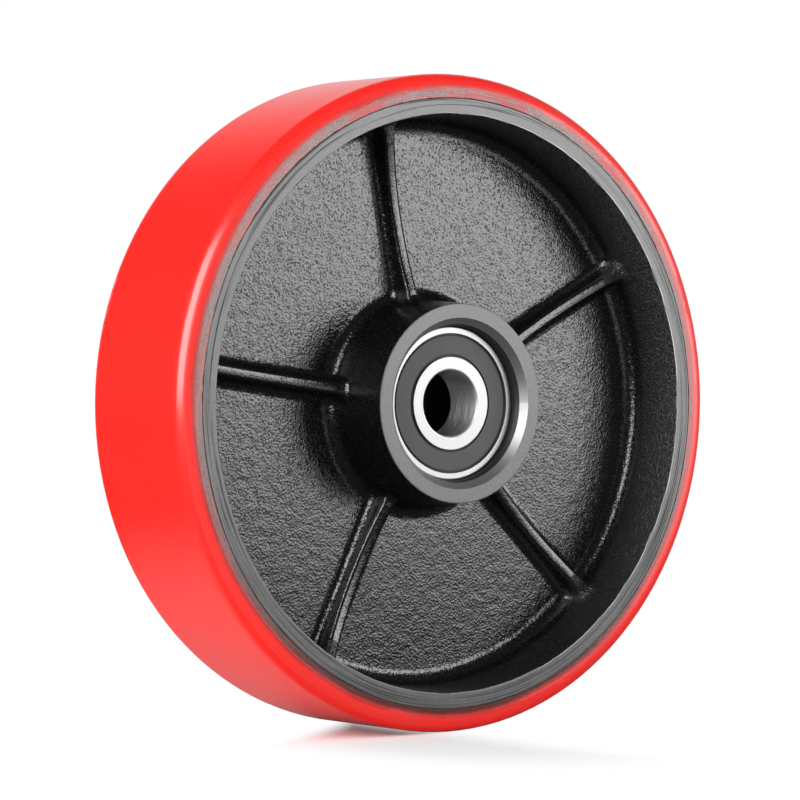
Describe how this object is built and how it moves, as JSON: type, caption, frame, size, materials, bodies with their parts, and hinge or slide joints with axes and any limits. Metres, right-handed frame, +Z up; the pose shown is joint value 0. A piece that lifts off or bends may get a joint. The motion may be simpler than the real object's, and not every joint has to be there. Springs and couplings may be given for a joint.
{
  "type": "pallet truck steering wheel",
  "caption": "Cast iron wheel with a red polyurethane tread, a ribbed web and a hub turning on sealed ball bearings.",
  "frame": {"origin": "centre of the wheel, on the spin axis midway between the hub faces", "axes": "+Y along the spin axis, -Y towards the side seen in the picture, +Z up"},
  "size_m": [0.2, 0.054, 0.2],
  "materials": {
    "tread": "gloss red polyurethane",
    "casting": "black gloss paint on sand casting, rim and hub faces bare",
    "ring": "ground",
    "ball": "polished",
    "cage": "pressed sheet",
    "seal": "matt"
  },
  "bodies": {
    "inner_rings": {"front_inner_ring": "ring", "rear_inner_ring": "ring"},
    "wheel": {"tyre": "tread", "cast_wheel": "casting", "front_outer_ring": "ring", "front_seal_outboard": "seal", "front_seal_inboard": "seal", "rear_outer_ring": "ring", "rear_seal_outboard": "seal", "rear_seal_inboard": "seal"},
    "front_cage": {"front_cage_outboard": "cage", "front_cage_inboard": "cage", "front_cage_rivets": "cage"},
    "front_ball_1": {"front_ball_1": "ball"},
    "front_ball_2": {"front_ball_2": "ball"},
    "front_ball_3": {"front_ball_3": "ball"},
    "front_ball_4": {"front_ball_4": "ball"},
    "front_ball_5": {"front_ball_5": "ball"},
    "front_ball_6": {"front_ball_6": "ball"},
    "front_ball_7": {"front_ball_7": "ball"},
    "front_ball_8": {"front_ball_8": "ball"},
    "rear_cage": {"rear_cage_outboard": "cage", "rear_cage_inboard": "cage", "rear_cage_rivets": "cage"},
    "rear_ball_1": {"rear_ball_1": "ball"},
    "rear_ball_2": {"rear_ball_2": "ball"},
    "rear_ball_3": {"rear_ball_3": "ball"},
    "rear_ball_4": {"rear_ball_4": "ball"},
    "rear_ball_5": {"rear_ball_5": "ball"},
    "rear_ball_6": {"rear_ball_6": "ball"},
    "rear_ball_7": {"rear_ball_7": "ball"},
    "rear_ball_8": {"rear_ball_8": "ball"}
  },
  "joints": [
    {"name": "wheel_spin", "type": "hinge", "parent": "inner_rings", "child": "wheel", "pos_m": [0, 0, 0], "axis": [0, 1, 0], "continuous": true},
    {"name": "front_cage_spin", "type": "hinge", "parent": "inner_rings", "child": "front_cage", "pos_m": [0, -0.015, 0], "axis": [0, 1, 0], "continuous": true},
    {"name": "front_ball_1_spin", "type": "hinge", "parent": "front_cage", "child": "front_ball_1", "pos_m": [0.01675, -0.015, 0], "axis": [0, 1, 0], "continuous": true},
    {"name": "front_ball_2_spin", "type": "hinge", "parent": "front_cage", "child": "front_ball_2", "pos_m": [0.01184, -0.015, -0.01184], "axis": [0, 1, 0], "continuous": true},
    {"name": "front_ball_3_spin", "type": "hinge", "parent": "front_cage", "child": "front_ball_3", "pos_m": [0, -0.015, -0.01675], "axis": [0, 1, 0], "continuous": true},
    {"name": "front_ball_4_spin", "type": "hinge", "parent": "front_cage", "child": "front_ball_4", "pos_m": [-0.01184, -0.015, -0.01184], "axis": [0, 1, 0], "continuous": true},
    {"name": "front_ball_5_spin", "type": "hinge", "parent": "front_cage", "child": "front_ball_5", "pos_m": [-0.01675, -0.015, 0], "axis": [0, 1, 0], "continuous": true},
    {"name": "front_ball_6_spin", "type": "hinge", "parent": "front_cage", "child": "front_ball_6", "pos_m": [-0.01184, -0.015, 0.01184], "axis": [0, 1, 0], "continuous": true},
    {"name": "front_ball_7_spin", "type": "hinge", "parent": "front_cage", "child": "front_ball_7", "pos_m": [0, -0.015, 0.01675], "axis": [0, 1, 0], "continuous": true},
    {"name": "front_ball_8_spin", "type": "hinge", "parent": "front_cage", "child": "front_ball_8", "pos_m": [0.01184, -0.015, 0.01184], "axis": [0, 1, 0], "continuous": true},
    {"name": "rear_cage_spin", "type": "hinge", "parent": "inner_rings", "child": "rear_cage", "pos_m": [0, 0.015, 0], "axis": [0, 1, 0], "continuous": true},
    {"name": "rear_ball_1_spin", "type": "hinge", "parent": "rear_cage", "child": "rear_ball_1", "pos_m": [0.01675, 0.015, 0], "axis": [0, 1, 0], "continuous": true},
    {"name": "rear_ball_2_spin", "type": "hinge", "parent": "rear_cage", "child": "rear_ball_2", "pos_m": [0.01184, 0.015, -0.01184], "axis": [0, 1, 0], "continuous": true},
    {"name": "rear_ball_3_spin", "type": "hinge", "parent": "rear_cage", "child": "rear_ball_3", "pos_m": [0, 0.015, -0.01675], "axis": [0, 1, 0], "continuous": true},
    {"name": "rear_ball_4_spin", "type": "hinge", "parent": "rear_cage", "child": "rear_ball_4", "pos_m": [-0.01184, 0.015, -0.01184], "axis": [0, 1, 0], "continuous": true},
    {"name": "rear_ball_5_spin", "type": "hinge", "parent": "rear_cage", "child": "rear_ball_5", "pos_m": [-0.01675, 0.015, 0], "axis": [0, 1, 0], "continuous": true},
    {"name": "rear_ball_6_spin", "type": "hinge", "parent": "rear_cage", "child": "rear_ball_6", "pos_m": [-0.01184, 0.015, 0.01184], "axis": [0, 1, 0], "continuous": true},
    {"name": "rear_ball_7_spin", "type": "hinge", "parent": "rear_cage", "child": "rear_ball_7", "pos_m": [0, 0.015, 0.01675], "axis": [0, 1, 0], "continuous": true},
    {"name": "rear_ball_8_spin", "type": "hinge", "parent": "rear_cage", "child": "rear_ball_8", "pos_m": [0.01184, 0.015, 0.01184], "axis": [0, 1, 0], "continuous": true}
  ],
  "couplings": [
    {"joint": "front_cage_spin", "follows": "wheel_spin", "ratio": 0.61848},
    {"joint": "front_ball_1_spin", "follows": "wheel_spin", "ratio": 1.9916},
    {"joint": "front_ball_2_spin", "follows": "wheel_spin", "ratio": 1.9916},
    {"joint": "front_ball_3_spin", "follows": "wheel_spin", "ratio": 1.9916},
    {"joint": "front_ball_4_spin", "follows": "wheel_spin", "ratio": 1.9916},
    {"joint": "front_ball_5_spin", "follows": "wheel_spin", "ratio": 1.9916},
    {"joint": "front_ball_6_spin", "follows": "wheel_spin", "ratio": 1.9916},
    {"joint": "front_ball_7_spin", "follows": "wheel_spin", "ratio": 1.9916},
    {"joint": "front_ball_8_spin", "follows": "wheel_spin", "ratio": 1.9916},
    {"joint": "rear_cage_spin", "follows": "wheel_spin", "ratio": 0.61848},
    {"joint": "rear_ball_1_spin", "follows": "wheel_spin", "ratio": 1.9916},
    {"joint": "rear_ball_2_spin", "follows": "wheel_spin", "ratio": 1.9916},
    {"joint": "rear_ball_3_spin", "follows": "wheel_spin", "ratio": 1.9916},
    {"joint": "rear_ball_4_spin", "follows": "wheel_spin", "ratio": 1.9916},
    {"joint": "rear_ball_5_spin", "follows": "wheel_spin", "ratio": 1.9916},
    {"joint": "rear_ball_6_spin", "follows": "wheel_spin", "ratio": 1.9916},
    {"joint": "rear_ball_7_spin", "follows": "wheel_spin", "ratio": 1.9916},
    {"joint": "rear_ball_8_spin", "follows": "wheel_spin", "ratio": 1.9916}
  ]
}
